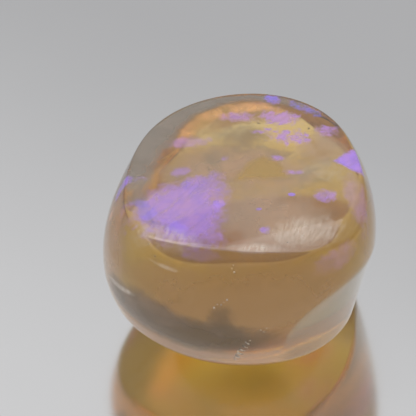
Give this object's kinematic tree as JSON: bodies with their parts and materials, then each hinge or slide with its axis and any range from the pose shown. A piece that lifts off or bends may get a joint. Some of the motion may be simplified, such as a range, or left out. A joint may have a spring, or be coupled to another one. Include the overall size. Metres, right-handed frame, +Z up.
{
  "type": "crystal opal",
  "caption": "Thick polished nodule of clear amber crystal opal with a slightly domed table, a ground flat, a domed underside and violet play of colour.",
  "frame": {"origin": "centre of the stone's outline, on the surface it rests on", "axes": "+Z up through the table, -Y towards the stone's front as pictured, +X to its right with the lower flat"},
  "size_m": [0.0152, 0.0158, 0.011],
  "materials": {
    "opal": "clear amber opal with violet and blue play of colour, mirror polished"
  },
  "bodies": {
    "root": {"opal_stone": "opal"}
  },
  "joints": []
}
